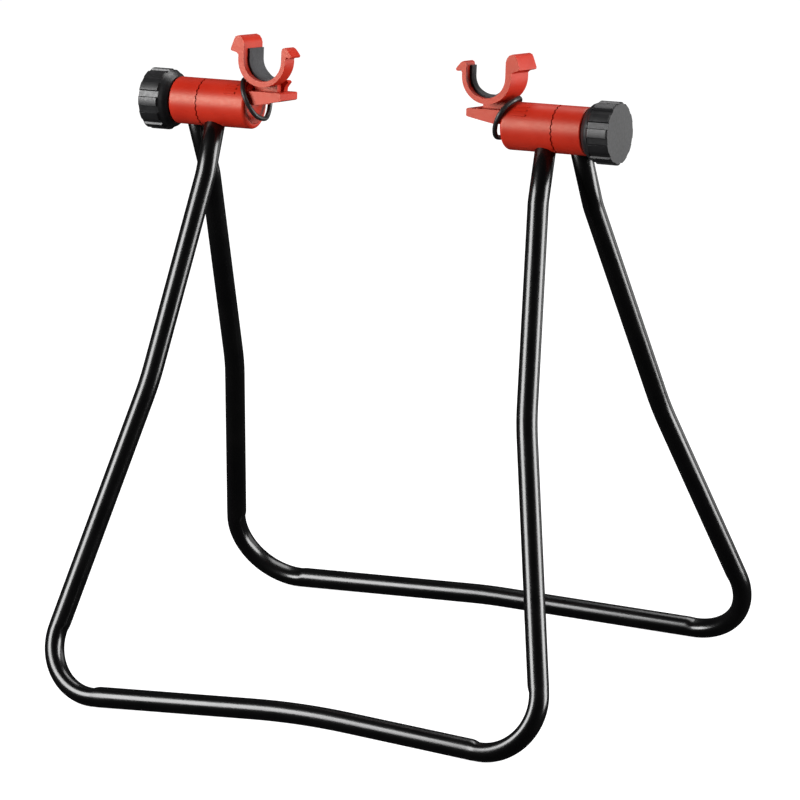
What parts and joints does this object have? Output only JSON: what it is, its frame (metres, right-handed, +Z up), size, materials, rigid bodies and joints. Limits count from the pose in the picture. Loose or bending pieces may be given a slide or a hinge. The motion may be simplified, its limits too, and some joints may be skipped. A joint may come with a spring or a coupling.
{
  "type": "bicycle repair stand",
  "caption": "Folding display and repair stand: bent tube frames cross at clamping heads whose rubber-lined hooks hold a bicycle's rear stays.",
  "frame": {"origin": "on the floor, midway between the two heads and between the feet of the open stand", "axes": "+Z up, +X along the fold axis to the right-hand head, -Y towards the front frame's foot"},
  "size_m": [0.4118, 0.3253, 0.4353],
  "materials": {
    "black_paint": "gloss",
    "red_plastic": "satin",
    "black_plastic": "satin",
    "black_rubber": "satin",
    "rubber_lining": "matte",
    "zinc_steel": "zinc plated",
    "white_nylon": "matte"
  },
  "bodies": {
    "front_stand": {"front_frame_tube": "black_paint", "left_inner_barrel": "red_plastic", "left_hook_washer": "white_nylon", "left_disc_springs": "zinc_steel", "right_inner_barrel": "red_plastic", "right_hook_washer": "white_nylon", "right_disc_springs": "zinc_steel"},
    "back_stand": {"back_frame_tube": "black_paint", "left_outer_barrel": "red_plastic", "right_outer_barrel": "red_plastic"},
    "left_clasp": {"left_hook": "red_plastic", "left_hook_pad": "rubber_lining", "left_retaining_ring": "black_rubber", "left_clamp_bolt": "zinc_steel"},
    "left_thrust": {"left_thrust_washer": "zinc_steel"},
    "left_handwheel": {"left_knob": "black_plastic", "left_knob_nut": "zinc_steel"},
    "right_clasp": {"right_hook": "red_plastic", "right_hook_pad": "rubber_lining", "right_retaining_ring": "black_rubber", "right_clamp_bolt": "zinc_steel"},
    "right_thrust": {"right_thrust_washer": "zinc_steel"},
    "right_handwheel": {"right_knob": "black_plastic", "right_knob_nut": "zinc_steel"}
  },
  "joints": [
    {"name": "frame_fold", "type": "hinge", "parent": "front_stand", "child": "back_stand", "pos_m": [0, 0, 0.3863], "axis": [-1, 0, 0], "range_deg": [0, 42]},
    {"name": "left_hook_turn", "type": "hinge", "parent": "front_stand", "child": "left_clasp", "pos_m": [-0.1, 0, 0.3863], "axis": [1, 0, 0], "range_deg": [-45, 45]},
    {"name": "left_knob_travel", "type": "slide", "parent": "left_clasp", "child": "left_thrust", "axis": [-1, 0, 0], "range_m": [0, 0.0025]},
    {"name": "left_knob_turn", "type": "hinge", "parent": "left_thrust", "child": "left_handwheel", "pos_m": [-0.165, 0, 0.3863], "axis": [-1, 0, 0], "range_deg": [0, 720.6]},
    {"name": "right_hook_turn", "type": "hinge", "parent": "front_stand", "child": "right_clasp", "pos_m": [0.1, 0, 0.3863], "axis": [1, 0, 0], "range_deg": [-45, 45]},
    {"name": "right_knob_travel", "type": "slide", "parent": "right_clasp", "child": "right_thrust", "axis": [1, 0, 0], "range_m": [0, 0.0025]},
    {"name": "right_knob_turn", "type": "hinge", "parent": "right_thrust", "child": "right_handwheel", "pos_m": [0.165, 0, 0.3863], "axis": [1, 0, 0], "range_deg": [0, 720.6]}
  ],
  "couplings": [
    {"joint": "left_knob_turn", "follows": "left_knob_travel", "rad_per_m": 5026.5},
    {"joint": "right_knob_turn", "follows": "right_knob_travel", "rad_per_m": 5026.5}
  ]
}
